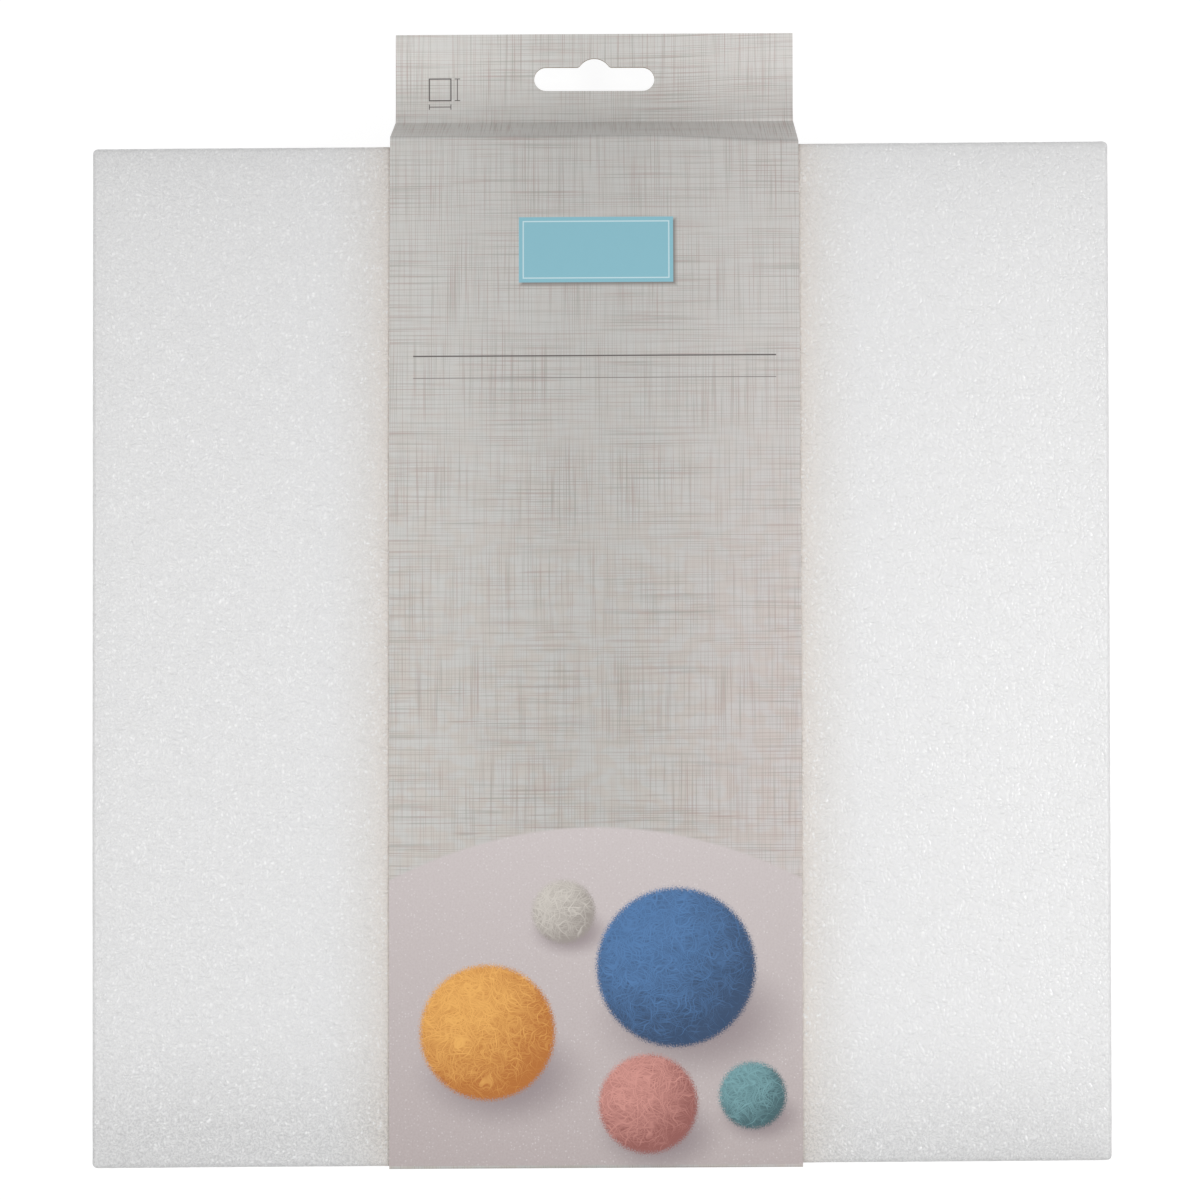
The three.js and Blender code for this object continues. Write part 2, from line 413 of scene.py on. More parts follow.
def glints(g, place, stretch):
    """Small bright spots, one in each of some cells, each as bright as chance has it."""
    drawn = g.node("VectorMath", {0: place, 1: stretch}, operation="MULTIPLY").outputs[0]
    cells = g.node("TexVoronoi", {"Vector": drawn, "Scale": 1 / CELL}).outputs
    chance = g.node("SeparateColor", {"Color": cells["Color"]}).outputs["Red"]
    return g.multiply(g.step(cells["Distance"], *GLINT_SPOT), g.step(chance, *GLINT_CHANCE))


def sparkle(g, place, turned):
    """Glints that lie two ways, in clusters."""
    bright = g.math("MAXIMUM", *[glints(g, turned, stretch) for stretch in GLINT_DRAWN])
    clusters = g.noise(place, 1 / CLUSTER, 2.0, flat=False)
    return g.multiply(bright, g.fit(clusters, *CLUSTER_SPAN, *CLUSTER_SHARE))


print(f"sparkle in cells of {CELL / MM:.1f} mm and clusters of {CLUSTER / MM:.0f} mm")

# %% Foam finish: painted shade and light
WARM_SHADE_UNDER, WARM_SHADE_BESIDE, WARM_SHADE_FADE = 6 * MM, 15 * MM, 1.2  # reach of the painted warm shade on both sides of the sleeve's edge
# width of the strip of painted light along the sleeve's edge
EDGE_LIGHT_BESIDE = 6 * MM
WORKING_FACE = (foam_high.z - 4 * MM, foam_high.z - 1 * MM)  # from the sides up onto the working face
SHADE_LEFT, SHADE_FOOT, SHADE_HEAD, SHADE_BESIDE = 0.38, 0.95, 0.2, 0.16  # how much painted shade lies on the left, at the foot, at the head and beside the sleeve
SHADE_REACH, SHADE_FADE = 38 * MM, 1.6  # from the foot and from the head


def fading(g, value, start, end, power):
    """1 at start and 0 at end; a power above 1 makes the fall faster at first."""
    return g.math("POWER", g.fit(value, start, end, 1.0, 0.0), power)


def painted_by_sleeve(g, where):
    """Shares of the painted warm shade beside the sleeve and of the painted light along its edge, on the working
    face.
    """
    aside = g.math("ABSOLUTE", g.subtract(where["X"], sleeve_x))
    half = sleeve_width / 2
    sleeve_band = g.multiply(g.step(aside, half - WARM_SHADE_UNDER, half), g.step(where["Z"], *WORKING_FACE))
    beside = g.multiply(fading(g, aside, half, half + WARM_SHADE_BESIDE, WARM_SHADE_FADE), sleeve_band)
    edge_light = g.multiply(g.fit(aside, half, half + EDGE_LIGHT_BESIDE, 1.0, 0.0), sleeve_band)
    return beside, edge_light


def painted_shade(g, where, beside):
    """Share of painted shade, greyer and grainier: on the left, most at the foot, and a little at head and sleeve.
    """
    foot = fading(g, where["Y"], foam_low.y, foam_low.y + SHADE_REACH, SHADE_FADE)
    head = fading(g, where["Y"], foam_high.y, foam_high.y - SHADE_REACH, SHADE_FADE)
    share = g.fit(where["X"], foam_low.x, foam_high.x, SHADE_LEFT, 0.0)
    for edge, most in ((foot, SHADE_FOOT), (head, SHADE_HEAD), (beside, SHADE_BESIDE)):
        share = g.add(share, g.multiply(edge, most))
    return share


# painted warm shade beside the sleeve, and painted shade over a reach from the foot and the head
print(f"tint {WARM_SHADE_BESIDE / MM:.0f} mm wide beside the sleeve, skin open over {SHADE_REACH / MM:.0f} mm")

# %% Foam finish
CELL_RISE = 0.2 * MM
GRAIN = 0.5 * MM
GRAIN_SPAN = (0.28, 0.72)  # of the noise, from shade to white
GRAIN_RELIEF, DOME_LEAST = 0.2, 0.3  # shares of the relief: the grain, and the flattest dome
SWIRL, SWIRL_LENGTH = 3.0 * MM, 5 * MM
SOAK = 50 * MM  # sets how far light travels in the foam
FOAM_WHITE, FOAM_SHADE = tint(238, 238, 238), tint(237, 237, 238)
SHADED_WHITE, SHADED_HOLLOW = tint(231, 231, 231), tint(198, 198, 199)  # grain colours where the painted shade is full
FOAM_GLINT = tint(255, 255, 255)
WARM_SHADE_TINT = (1.0, 0.96, 0.91, 1.0)  # painted warm shade beside the sleeve, for the shade and kraft-tinted light there
SLEEVE_EDGE_LIGHT = (1.085, 1.055, 1.038, 1.0)  # painted light along the card's edge, which lifts the shade there


def foam_finish():
    g = finish_graph("closed_cell_foam")
    place = g.node("TexCoord").outputs["Object"]
    bend = g.node("TexNoise", {"Vector": place, "Scale": 1 / SWIRL_LENGTH, "Detail": 1.0}).outputs["Color"]
    swirl = g.node("VectorMath", {0: bend, "Scale": SWIRL}, operation="SCALE").outputs[0]
    turned = g.node("VectorMath", {0: place, 1: swirl}, operation="ADD").outputs[0]

    grain = g.noise(turned, 1 / GRAIN, 2.0, flat=False, Roughness=0.7)
    cells = g.node("TexVoronoi", {"Vector": turned, "Scale": 1 / CELL}).outputs
    dome = g.math("POWER", cells["Distance"], 2.0)
    chance = g.node("SeparateColor", {"Color": cells["Color"]}).outputs["Green"]
    height = g.subtract(g.multiply(grain, GRAIN_RELIEF), g.multiply(dome, g.add(chance, DOME_LEAST)))
    relief = g.bump(height, CELL_RISE)

    where = g.node("SeparateXYZ", {"Vector": place}).outputs
    beside, edge_light = painted_by_sleeve(g, where)
    # painted shade, greyer and grainier towards the foot, the head, the left and the sleeve
    shade_share = painted_shade(g, where, beside)
    shade = g.mix(shade_share, FOAM_SHADE, SHADED_HOLLOW)
    white = g.mix(shade_share, FOAM_WHITE, SHADED_WHITE)
    skin = g.mix(g.step(grain, *GRAIN_SPAN), shade, white)
    # painted warm shade beside the sleeve
    skin = g.mix(beside, skin, WARM_SHADE_TINT, "MULTIPLY")
    # painted light along the sleeve's edge
    skin = g.mix(edge_light, skin, SLEEVE_EDGE_LIGHT, "MULTIPLY")
    return g.surface(
        Base_Color=g.mix(sparkle(g, place, turned), skin, FOAM_GLINT),
        Roughness=0.5,
        Subsurface_Weight=0.5,
        Subsurface_Radius=(1.0, 1.0, 0.97),
        Subsurface_Scale=SOAK,
        Normal=relief,
        Coat_Weight=0.35,
        Coat_Roughness=0.16,
        Coat_Normal=relief,
    )


foam_mesh.materials.append(foam_finish())
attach(foam, "foam_block")
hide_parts("foam_block")
print("foam finish:", len(foam_mesh.materials[0].node_tree.nodes), "nodes")

# %% [markdown]
# ## Card sleeve: the line it follows
# The real sleeve is one strip: leaf, gable, panel, foot, panel, gable, leaf. It could be assembled from
# the solids, but a folded card has no joints that show, so the whole strip is drawn as one line and swept
# across. Each half goes from the foot fold up to the end of its leaf. The line is that of the card's
# middle layer, so that half of the thickness lies on each side of it.

# %% Arcs and straights
QUARTER = math.pi / 2


def arc(centre, radius, start, end, steps):
    turns = np.linspace(start, end, steps + 1)
    return [(centre[0] + radius * math.cos(a), centre[1] + radius * math.sin(a)) for a in turns]


def straight(start, end, steps):
    """Points from just after start up to end."""
    return [tuple(point) for point in np.linspace(start, end, steps + 1)[1:]]


def step_lengths(points):
    return np.linalg.norm(np.diff(np.array(points), axis=0), axis=1)


print("a quarter round in", len(arc((0, 0), 1, 0, QUARTER, 6)), "points")

# %% Line of the strip
GABLE_RISE = 8 * MM  # from the head fold up to the crease of the gable
FLARE_RADIUS = 14 * MM  # hollow curve between the crease and the tab
FOLD_STEPS, BOTTOM_STEPS, PANEL_STEPS, SLOPE_STEPS, FLARE_STEPS, LEAF_STEPS = 6, 20, 110, 12, 10, 20

crease = panel_head + GABLE_RISE
fold_middle = fold_inside + card / 2
flare_middle = FLARE_RADIUS + card / 2
fold_height = card_inside - fold_inside


def half_strip(bow, drop):
    """(y, height) along one half, with the panel bowed out and its head fold lowered by drop."""
    head = panel_head - drop
    flare = (flare_top, tab_half + FLARE_RADIUS)
    flare_turn = math.asin((flare_top - crease) / FLARE_RADIUS)
    crease_point = arc(flare, flare_middle, 3 * QUARTER - flare_turn, 3 * QUARTER, 1)[0]
    reach = Vector(crease_point) - Vector((head, fold_height))
    tilt = math.atan2(reach.y, reach.x) + math.acos(fold_middle / reach.length)

    points = arc((panel_foot, fold_height), fold_middle, math.pi, QUARTER, FOLD_STEPS)
    panel = straight(points[-1], (head, fold_height + fold_middle), PANEL_STEPS)
    shares = np.linspace(0, 1, PANEL_STEPS + 1)[1:]
    points += [(y, h + bow * 4 * t * (1 - t)) for (y, h), t in zip(panel, shares)]
    points += arc((head, fold_height), fold_middle, QUARTER, tilt, FOLD_STEPS)[1:]
    points += straight(points[-1], crease_point, SLOPE_STEPS)
    points += arc(flare, flare_middle, 3 * QUARTER - flare_turn, 3 * QUARTER, FLARE_STEPS)[1:]
    points += straight(points[-1], (tab_top, points[-1][1]), LEAF_STEPS)
    return points


def whole_strip(drop):
    """Points of the strip from the end of the back leaf to the end of the front leaf."""
    back = [(y, -h) for y, h in reversed(half_strip(0, 0))]
    front = half_strip(front_bow, drop)
    return back + straight(back[-1], front[0], BOTTOM_STEPS)[:-1] + front


strip = whole_strip(0)
print(f"strip of {len(strip)} points, {step_lengths(strip).sum() / MM:.0f} mm long")

# %% [markdown]
# ## Card sleeve: the sheet
# The line is drawn once for each column across the strip, because the head fold was pressed a little
# askew: it drops towards the right. Each point keeps its place on the flat card, across and along,
# as a UV map in metres, so the print is laid on as it left the press. The die that cuts the card crushes
# its edges, so the front panel is thinner there and throws hardly any shadow: each point carries its share
# of the full thickness as a weight.

# %% Folds and cut of the card
HEAD_DROP = 1.4 * MM
DROP_FROM, DROP_TO = 12 * MM, sleeve_width / 2  # where the fold starts to fall, and falls furthest
FOOT_SHARE, HEAD_SHARE = 1.0025, 0.994  # of the strip's width


def ease(share):
    share = min(1.0, max(0.0, share))
    return share * share * (3 - 2 * share)


def head_drop(across):
    """How far the head fold is lowered at a place across the strip."""
    return HEAD_DROP * ease((across - DROP_FROM) / (DROP_TO - DROP_FROM))


def width_share(y):
    """The strip is cut a little narrower towards its head."""
    up = min(1.0, max(0.0, (y - panel_foot) / (panel_head - panel_foot)))
    return FOOT_SHARE + (HEAD_SHARE - FOOT_SHARE) * up**3


print(f"head fold drops {head_drop(DROP_TO) / MM:.1f} mm, head {width_share(panel_head):.3f} of the width")

# %% Sheet of card
COLUMNS = 61  # an odd number, so that no line runs through the top of the slot
RIPPLE, RIPPLE_LENGTH = 0.12 * MM, 70 * MM
PANEL_EASE = 30 * MM  # over which ripple and crush fade out at both ends of the front panel
SKEW = math.radians(0.2)
DIE_CRUSH = 0.45  # share of the thickness that the die presses out of the front panel's edges
front_start = len(strip) - len(half_strip(0, 0)) + FOLD_STEPS  # the row where the front panel begins


def sheet_of_card():
    columns = np.linspace(-sleeve_width / 2, sleeve_width / 2, COLUMNS + 1)
    bm = bmesh.new()
    layer = bm.loops.layers.uv.new("strip")
    full = bm.verts.layers.deform.verify()
    grid, flat = [], {}
    for across in columns:
        line = whole_strip(head_drop(across))
        along = np.concatenate([[0], np.cumsum(step_lengths(line))])
        along -= along[front_start]
        column = []
        for (y, height), place in zip(line, along):
            ends = ease((y - panel_foot) / PANEL_EASE) * ease((panel_head - y) / PANEL_EASE)
            front = ends if height > 0 else 0.0  # the back lies flat
            wave = RIPPLE * noise.noise(Vector((across, y, height)) / RIPPLE_LENGTH) * front
            crushed = DIE_CRUSH * front if across in (columns[0], columns[-1]) else 0.0
            x = sleeve_x + across * width_share(y)
            z = hinge.z + height + wave - crushed * card / 2
            vert = bm.verts.new((x, y + across * math.tan(SKEW), z))
            vert[full][0] = 1 - crushed
            flat[vert] = (across, place)
            column.append(vert)
        grid.append(column)
    for left, right in zip(grid, grid[1:]):
        for row in range(len(left) - 1):
            face = bm.faces.new((left[row], right[row], right[row + 1], left[row + 1]))
            face.smooth = True
            for loop in face.loops:
                loop[layer].uv = flat[loop.vert]
    mesh = bpy.data.meshes.new("card_sleeve_strip")
    bm.to_mesh(mesh)
    bm.free()
    return mesh


sleeve = bpy.data.objects.new("card_sleeve_strip", sheet_of_card())
sleeve.vertex_groups.new(name="full_card")
bpy.context.scene.collection.objects.link(sleeve)
print("sheet:", len(sleeve.data.polygons), "faces")

# %% [markdown]
# ## Card sleeve: the hang slot
# Shops hang the mat on a peg, through a long slot whose hump brings the peg to the middle. The hole could
# be left out of the sheet's grid, but its round ends would need points of their own. So a solid of the
# slot's outline is made here, and a Boolean takes it away from the card once the card has its thickness.

# %% Slot cutter
SLOT_WIDTH, SLOT_HEIGHT = 31 * MM, 6.1 * MM
HUMP_RADIUS, HUMP_RISE, HUMP_FILLET = 4.5 * MM, 2.3 * MM, 1.2 * MM
SLOT_STEPS = 14
CUTTER_REACH = 4 * tab_half  # above and below the middle of the tab
slot_middle = Vector(next(m["pos_m"] for m in frame["record"]["mounts"] if m["name"] == "hang_slot"))


def slot_outline():
    """The peg slot round its middle: two round ends, and a hump with small fillets on the upper edge."""
    end = SLOT_HEIGHT / 2
    reach = SLOT_WIDTH / 2 - end
    hump_y = end + HUMP_RISE - HUMP_RADIUS
    fillet_y = end + HUMP_FILLET
    fillet_x = math.sqrt((HUMP_RADIUS + HUMP_FILLET) ** 2 - (fillet_y - hump_y) ** 2)
    lean = math.atan2(fillet_y - hump_y, fillet_x)
    half = arc((reach, 0), end, -QUARTER, QUARTER, SLOT_STEPS)
    half += arc((fillet_x, fillet_y), HUMP_FILLET, -QUARTER, lean - math.pi, SLOT_STEPS)
    half += arc((0, hump_y), HUMP_RADIUS, lean, QUARTER, SLOT_STEPS)
    return half + [(-x, y) for x, y in reversed(half[:-1])]


def slot_cutter():
    bm = bmesh.new()
    low = slot_middle.z - CUTTER_REACH
    rim = [bm.verts.new((slot_middle.x + x, slot_middle.y + y, low)) for x, y in slot_outline()]
    made = bmesh.ops.extrude_face_region(bm, geom=[bm.faces.new(rim)])
    lifted = [item for item in made["geom"] if isinstance(item, bmesh.types.BMVert)]
    bmesh.ops.translate(bm, verts=lifted, vec=(0, 0, 2 * CUTTER_REACH))
    bmesh.ops.recalc_face_normals(bm, faces=bm.faces)
    mesh = bpy.data.meshes.new("slot_cutter")
    bm.to_mesh(mesh)
    bm.free()
    return bpy.data.objects.new("slot_cutter", mesh)


cutter = slot_cutter()
bpy.context.scene.collection.objects.link(cutter)
print("slot cutter:", len(cutter.data.polygons), "faces")

# %% [markdown]
# ## The print: linen
# The card is printed with a picture of linen, a common background on craft packs: a pale warm grey with
# darker threads that run a short way and fade. A weave texture would be too regular. Noise that is drawn
# out a hundred times further one way than the other breaks into just such streaks, so one call draws the
# weft and another the warp. A broad noise thins them in places, and a tint wanders from pink to green.
# The print is a little lighter along its sides, rosy on the right, and calmer and cooler at its head. The
# header is printed lighter and fades in from its crease, which paints shade near the crease, and the gable
# gets painted light for the light that its slope misses.

# %% Threads
RASTER = 1 / MM  # the print is drawn in millimetres
PATCH_SPAN = (0.38, 0.62)  # of the noise, from the least to the most of a patch


def threads(g, along, across, length, width):
    """Noise drawn out into threads of about that length and width, from 0 to 1 with most of it near 0.5."""
    drawn = g.point(g.multiply(along, 1 / length), g.multiply(across, 1 / width))
    return g.noise(drawn, 1.0, 1.0, Roughness=0.6)


def patches(g, u, v, width, height, low, high):
    """A share that wanders from low to high over patches of about that width and height."""
    return g.fit(g.step(threads(g, u, v, width, height), *PATCH_SPAN), 0.0, 1.0, low, high)


print("threads and patches are drawn in mm:", RASTER, "to the metre")

# %% Weave
LINEN_COOL, LINEN_WARM = tint(193, 192, 189), tint(192, 187, 181)
THREAD_ROSE, THREAD_OLIVE = tint(154, 132, 127), tint(142, 141, 133)
WARP, WEFT, SLUB = (26.0, 0.27), (34.0, 0.27), (20.0, 0.42)  # length and width of a thread, in mm
THREAD_SPAN, SLUB_SPAN = (0.46, 0.76), (0.6, 0.8)  # of the noise, from bare ground to full ink
WARP_PATCH, WEFT_PATCH = (20.0, 34.0, 0.36, 0.52), (50.0, 9.0, 0.36, 0.56)  # size in mm, least and most ink
SLUB_PATCH, TINT_PATCH = (6.0, 60.0, 0.1, 0.6), (5.0, 4.0, 0.0, 1.0)
WARP_INK, WEFT_INK = (0.9, 9.0, 0.0, 1.0), (9.0, 0.9, 0.0, 1.0)  # where olive turns to rose
FAR_ACROSS, FAR_UP = 300.0, 500.0  # mm to another part of the noise
LINEN_BLUSH, BLUSH_SPAN = (1.015, 0.97, 0.985, 1.0), (5.0, 48.0)  # a rosy cast, over these mm to the right
CALM_TINT, CALM_SLUBS = 0.25, 0.5  # what is left of tint and slubs where the print is calm


def weave(g, u, v, calm):
    u_far, v_far = g.add(u, FAR_ACROSS), g.add(v, FAR_UP)
    tinted = g.fit(calm, 0.0, 1.0, 1.0, CALM_TINT)
    colour = g.mix(g.multiply(patches(g, u, v, *TINT_PATCH), tinted), LINEN_COOL, LINEN_WARM)
    colour = g.mix(g.multiply(g.step(u, *BLUSH_SPAN), tinted), colour, LINEN_BLUSH, "MULTIPLY")

    warp = g.step(threads(g, v, u, *WARP), *THREAD_SPAN)
    warp = g.multiply(warp, patches(g, u, v_far, *WARP_PATCH))
    colour = g.mix(warp, colour, g.mix(patches(g, u, v, *WARP_INK), THREAD_OLIVE, THREAD_ROSE))

    weft = g.step(threads(g, u, v, *WEFT), *THREAD_SPAN)
    weft = g.multiply(weft, patches(g, u_far, v_far, *WEFT_PATCH))
    slubs = g.step(threads(g, u_far, v_far, *SLUB), *SLUB_SPAN)
    slubs = g.multiply(slubs, patches(g, v_far, u_far, *SLUB_PATCH))
    weft = g.math("MAXIMUM", weft, g.multiply(slubs, g.fit(calm, 0.0, 1.0, 1.0, CALM_SLUBS)))
    return g.mix(weft, colour, g.mix(patches(g, u, v_far, *WEFT_INK), THREAD_OLIVE, THREAD_ROSE))


print("weave: warp, weft and slubs")

# %% Linen
LINEN_CALMS = (110.0, 230.0)  # mm up the print over which it grows cooler and calmer
LINEN_ASIDE, LINEN_SIDES = (8.0, 45.0), (0.955, 1.085)  # mm from the middle, and how light it is there
LINEN_TOP = 1.05  # how light it is near the head of the panel
LINEN_HEAD, LINEN_HEAD_FADE = 0.3, 18.0  # what the header adds, a lighter print, and over how many mm from its crease, which paints shade near it
GABLE_PAINTED_LIGHT, GABLE_LENGTH = 0.2, 24.0  # painted light that the gable adds, for the light its slope misses, and its length in mm below the crease
GABLE_SOFT, CREASE_SOFT = 1.0, 0.4  # mm over which that fades in and out


def linen(g, u, v, crease_v):
    calm = g.step(v, *LINEN_CALMS)
    colour = weave(g, u, v, calm)
    sides = g.fit(g.math("ABSOLUTE", u), *LINEN_ASIDE, *LINEN_SIDES)
    # the header's lighter print, with painted shade near the crease where it fades in
    head = g.multiply(g.step(v, crease_v, crease_v + LINEN_HEAD_FADE), LINEN_HEAD)
    # painted light on the gable, for the light its slope misses
    gable_foot = crease_v - GABLE_LENGTH
    gable = g.step(v, gable_foot - GABLE_SOFT, gable_foot + GABLE_SOFT)
    gable = g.multiply(gable, g.step(v, crease_v + CREASE_SOFT, crease_v - CREASE_SOFT))
    head = g.add(head, g.multiply(gable, GABLE_PAINTED_LIGHT))
    shade = g.multiply(sides, g.add(g.fit(calm, 0.0, 1.0, 1.0, LINEN_TOP), head))
    return g.node("VectorMath", {0: colour, "Scale": shade}, operation="SCALE").outputs[0]


print("linen grows calm from", LINEN_CALMS[0], "to", LINEN_CALMS[1], "mm up the print")

# %% [markdown]
# ## The print: label, rules and size mark
# The pack carries a plain blue label with a keyline, two fine rules, and a size mark: a square with its two
# measure lines. Flat shapes like these could come from an image, but drawn from distances they stay sharp
# from near by. A box is the larger of two distances, one across and one along, and is inked below zero.

# %% Flat shapes
SHARP = 0.06  # mm over which an inked edge fades


def box_gap(g, u, v, middle, size):
    """How far a point lies outside a box, in mm, negative inside."""
    across = g.subtract(g.math("ABSOLUTE", g.subtract(u, middle[0])), size[0] / 2)
    along = g.subtract(g.math("ABSOLUTE", g.subtract(v, middle[1])), size[1] / 2)
    return g.math("MAXIMUM", across, along)


def ink_box(g, base, u, v, middle, size, colour, fade=SHARP):
    return g.mix(g.step(box_gap(g, u, v, middle, size), fade, -fade), base, colour)


def ink_frame(g, base, u, v, middle, size, line, colour):
    gap = g.math("ABSOLUTE", box_gap(g, u, v, middle, size))
    return g.mix(g.step(gap, line / 2 + SHARP, line / 2 - SHARP), base, colour)


print("boxes and frames with edges of", SHARP, "mm")

# %% Label and rules
INK, INK_PALE = tint(92, 86, 84), tint(128, 122, 119)
LABEL_BLUE, LABEL_LINE = tint(134, 187, 201), tint(196, 222, 228)
LABEL_MIDDLE, LABEL_SIZE = (0.4, 228.6), (38.8, 16.4)
LABEL_SHADOW, LABEL_SHIFT, LABEL_SOFT = tint(120, 114, 110), (0.6, -0.6), 0.8
KEYLINE, KEYLINE_INSET = 0.3, 1.1  # its width, and how far it lies inside the label
UPPER_RULE, UPPER_SIZE = (0.0, 202.0), (91.0, 0.35)
LOWER_RULE, LOWER_SIZE = (0.0, 196.5), (91.0, 0.2)


def label_and_rules(g, base, u, v):
    shadow = (LABEL_MIDDLE[0] + LABEL_SHIFT[0], LABEL_MIDDLE[1] + LABEL_SHIFT[1])
    base = ink_box(g, base, u, v, shadow, LABEL_SIZE, LABEL_SHADOW, fade=LABEL_SOFT)
    base = ink_box(g, base, u, v, LABEL_MIDDLE, LABEL_SIZE, LABEL_BLUE)
    inset = [side - 2 * KEYLINE_INSET for side in LABEL_SIZE]
    base = ink_frame(g, base, u, v, LABEL_MIDDLE, inset, KEYLINE, LABEL_LINE)
    base = ink_box(g, base, u, v, UPPER_RULE, UPPER_SIZE, INK)
    return ink_box(g, base, u, v, LOWER_RULE, LOWER_SIZE, INK_PALE)


print("label", LABEL_SIZE, "mm and two rules")

# %% Size mark
MARK_ACROSS, MARK_ABOVE_CREASE = -40.0, 9.0  # where its middle lies
MARK_SIDE, MARK_LINE = 5.6, 0.32
MEASURE_LINE, MEASURE_AWAY, MEASURE_TICK = 0.7 * MARK_LINE, 0.8 * MARK_SIDE, 1.4


def size_mark(g, base, u, v, crease_v):
    """A square with a measure line below it and one beside it, each with a tick at both ends."""
    across, up = MARK_ACROSS, crease_v + MARK_ABOVE_CREASE
    below, beside = up - MEASURE_AWAY, across + MEASURE_AWAY
    base = ink_frame(g, base, u, v, (across, up), (MARK_SIDE, MARK_SIDE), MARK_LINE, INK)
    base = ink_box(g, base, u, v, (across, below), (MARK_SIDE, MEASURE_LINE), INK)
    base = ink_box(g, base, u, v, (beside, up), (MEASURE_LINE, MARK_SIDE), INK)
    for end in (-MARK_SIDE / 2, MARK_SIDE / 2):
        base = ink_box(g, base, u, v, (across + end, below), (MEASURE_LINE, MEASURE_TICK), INK)
        base = ink_box(g, base, u, v, (beside, up + end), (MEASURE_TICK, MEASURE_LINE), INK)
    return base


print("size mark of", MARK_SIDE, "mm")

# %% [markdown]
# ## The print: felt balls
# The lower third shows what the mat is for: felted wool on a sheet of foam. A ball is drawn as a printer's
# picture of one: a disc whose shading follows the round form, hairs of wool that cross over it, a fuzzy
# rim and a soft shadow on the foam. The hairs are drawn once, as bent threads in four directions, and
# each ball is the same few nodes with its own place and colours.

# %% Sheet under the balls
SHEET_PALE, SHEET_DEEP, SHEET_GLINT = tint(207, 199, 199), tint(180, 168, 167), tint(232, 227, 228)
SHEET_CROWN, SHEET_FALL = 84.0, 13.0  # mm above the foot in the middle, and lower by this at the edges
SHEET_GRAIN, SHEET_CELL, SHEET_SOFT = 0.5, 0.75, 0.5  # mm
SHEET_DEPTH = (0.1, 0.75)  # how pale it is at its foot and at its crown
SHEET_MOTTLE, SHEET_SPARKLE = 0.5, 0.5  # shares of the grain and of the glints
SHEET_SPOT, SHEET_CHANCE = (0.38, 0.05), (0.2, 1.0)  # as for the glints of the block
FOOT_SOFT = 0.3  # mm over which the picture ends at the foot fold


def foam_sheet(g, base, u, v):
    """The pale sheet that the balls lie on, with a rounded upper edge."""
    aside = g.multiply(u, 2 * MM / sleeve_width)
    edge = g.subtract(SHEET_CROWN, g.multiply(g.multiply(aside, aside), SHEET_FALL))
    inside = g.step(g.subtract(edge, v), -SHEET_SOFT, SHEET_SOFT)
    grain = g.subtract(g.noise(g.point(u, v), 1 / SHEET_GRAIN, 2.0), 0.5)
    depth = g.fit(v, 0.0, SHEET_CROWN, *SHEET_DEPTH)
    sheet = g.mix(g.add(g.multiply(grain, SHEET_MOTTLE), depth), SHEET_DEEP, SHEET_PALE)
    cells = g.node("TexVoronoi", {"Vector": g.point(u, v), "Scale": 1 / SHEET_CELL}).outputs
    chance = g.node("SeparateColor", {"Color": cells["Color"]}).outputs["Red"]
    bright = g.multiply(g.step(cells["Distance"], *SHEET_SPOT), g.step(chance, *SHEET_CHANCE))
    sheet = g.mix(g.multiply(bright, SHEET_SPARKLE), sheet, SHEET_GLINT)
    return g.mix(g.multiply(inside, g.step(v, -FOOT_SOFT, 0.0)), base, sheet)


print("sheet", SHEET_CROWN, "mm high")

# %% Wool
WOOL_HAIR, WOOL_BEND = (7.0, 0.3), 6.0  # length and width of a hair and the size of its bends, in mm
WOOL_TURNS = [math.radians(turn) for turn in (15, 70, 125, 170)]
FUZZ_LENGTH, FUZZ_REACH = 0.35, 1.2  # mm along the rim, and how far it frays in and out


def wool_hairs(g, u, v):
    """Fine hairs that bend and lie over each other in several directions, mostly between 0.5 and 0.7."""
    bend = g.multiply(g.subtract(g.noise(g.point(u, v), 1 / WOOL_BEND, 1.0), 0.5), WOOL_BEND)
    hairs = 0.0
    for turn in WOOL_TURNS:
        run, rise = math.cos(turn), math.sin(turn)
        along = g.add(g.multiply(u, run), g.multiply(v, rise))
        across = g.add(g.subtract(g.multiply(v, run), g.multiply(u, rise)), bend)
        hairs = g.math("MAXIMUM", hairs, threads(g, along, across, *WOOL_HAIR))
    return hairs


def wool_fuzz(g, u, v):
    """How far the rim of a ball frays out or in, in mm."""
    return g.subtract(g.multiply(threads(g, v, u, FUZZ_LENGTH, FUZZ_LENGTH), 2 * FUZZ_REACH), FUZZ_REACH)


print("wool with hairs in", len(WOOL_TURNS), "directions")

